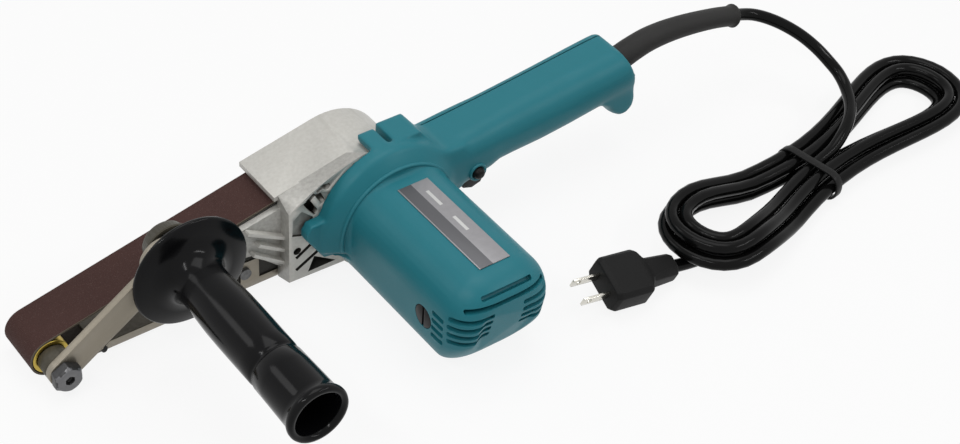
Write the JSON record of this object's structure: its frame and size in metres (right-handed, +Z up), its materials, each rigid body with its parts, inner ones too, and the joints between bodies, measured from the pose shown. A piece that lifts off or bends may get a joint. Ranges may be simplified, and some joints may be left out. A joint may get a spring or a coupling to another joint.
{
  "type": "power file",
  "caption": "Corded power file with a narrow abrasive belt over two wheels, side motor barrel, rear handle, side grip and a tied coil of lead with a plug.",
  "frame": {"origin": "middle of the belt's flat sanding run, on its outer face", "axes": "+X along the belt to the idler end, +Y to the motor and grip side, +Z up from the sanded surface"},
  "size_m": [0.612, 0.1876, 0.0948],
  "materials": {
    "cast_alloy": "satin casting",
    "teal_plastic": "satin",
    "bare_steel": "machined",
    "khaki_paint": "satin",
    "dark_steel": "oiled black",
    "black_plastic": "gloss",
    "black_rubber": "satin",
    "yellow_metal": "machined",
    "grit_cloth": "coated grit",
    "label_metal": "printed, left bare",
    "nickel": "bright"
  },
  "bodies": {
    "tool": {"gear_housing": "cast_alloy", "gear_plate": "cast_alloy", "motor_housing": "teal_plastic", "handle_cover": "teal_plastic", "label_plate": "label_metal", "housing_screws": "bare_steel", "handle_screws": "bare_steel", "brush_caps": "black_plastic", "brush_holders": "yellow_metal", "carbon_brushes": "black_plastic", "field_core": "bare_steel", "field_coils": "yellow_metal", "motor_bearings": "bare_steel", "spindle_bearings": "bare_steel", "switch_body": "black_plastic", "cord_clamp": "black_plastic", "clamp_screws": "bare_steel", "cord_guard": "black_rubber", "grip_bracket": "khaki_paint", "bracket_screw": "bare_steel", "side_grip": "black_plastic", "grip_stud": "bare_steel", "shoe_plate": "khaki_paint", "shoe_screw": "dark_steel", "abrasive_belt": "grit_cloth", "cord_lead": "black_rubber", "cord_hank": "black_rubber", "cord_tail": "black_rubber", "cord_tie": "black_rubber", "plug_body": "black_rubber", "plug_blades": "nickel", "guide_screw": "bare_steel", "tension_spring": "bare_steel", "trigger_pin": "bare_steel"},
    "armature": {"armature_shaft": "bare_steel", "armature_core": "bare_steel", "commutator": "yellow_metal", "cooling_fan": "black_plastic"},
    "drive": {"drive_spindle": "bare_steel", "drive_gear": "bare_steel", "drive_wheel": "cast_alloy", "drive_tyre": "black_rubber", "wheel_nut": "bare_steel"},
    "arm": {"idler_arm": "khaki_paint", "idler_bolt": "dark_steel", "idler_spacer": "dark_steel"},
    "idler": {"idler_wheel": "yellow_metal", "idler_bearing": "bare_steel"},
    "tracker": {"tracking_screw": "dark_steel"},
    "trigger_body": {"trigger": "black_plastic"},
    "lock": {"lock_button": "black_plastic"}
  },
  "joints": [
    {"name": "motor_spin", "type": "hinge", "parent": "tool", "child": "armature", "pos_m": [-0.11243, 0.06, 0.0335], "axis": [0, 1, 0], "continuous": true},
    {"name": "drive_spin", "type": "hinge", "parent": "tool", "child": "drive", "pos_m": [-0.09085, 0, 0.0325], "axis": [0, 1, 0], "continuous": true},
    {"name": "arm_slide", "type": "slide", "parent": "tool", "child": "arm", "axis": [1, 0, 0], "range_m": [-0.008, 0], "stiffness_N_per_m": 2500, "springref_m": 0.004, "deforming": ["tension_spring"]},
    {"name": "idler_spin", "type": "hinge", "parent": "arm", "child": "idler", "pos_m": [0.09085, 0, 0.0123], "axis": [0, 1, 0], "continuous": true},
    {"name": "tracking_turn", "type": "hinge", "parent": "arm", "child": "tracker", "pos_m": [0.06796, 0.02725, 0.01784], "axis": [-0.5663, 0, -0.8242], "range_deg": [-180, 180]},
    {"name": "trigger_press", "type": "hinge", "parent": "tool", "child": "trigger_body", "pos_m": [-0.16685, 0.022, 0.0345], "axis": [0, 1, 0], "range_deg": [0, 8], "stiffness_Nm_per_rad": 1, "springref_deg": -5.73},
    {"name": "lock_press", "type": "slide", "parent": "tool", "child": "lock", "axis": [0, -1, 0], "range_m": [0, 0.0025], "stiffness_N_per_m": 300, "springref_m": -0.001}
  ],
  "couplings": [
    {"joint": "drive_spin", "follows": "motor_spin", "ratio": -0.26316},
    {"joint": "idler_spin", "follows": "motor_spin", "ratio": -0.7175}
  ]
}
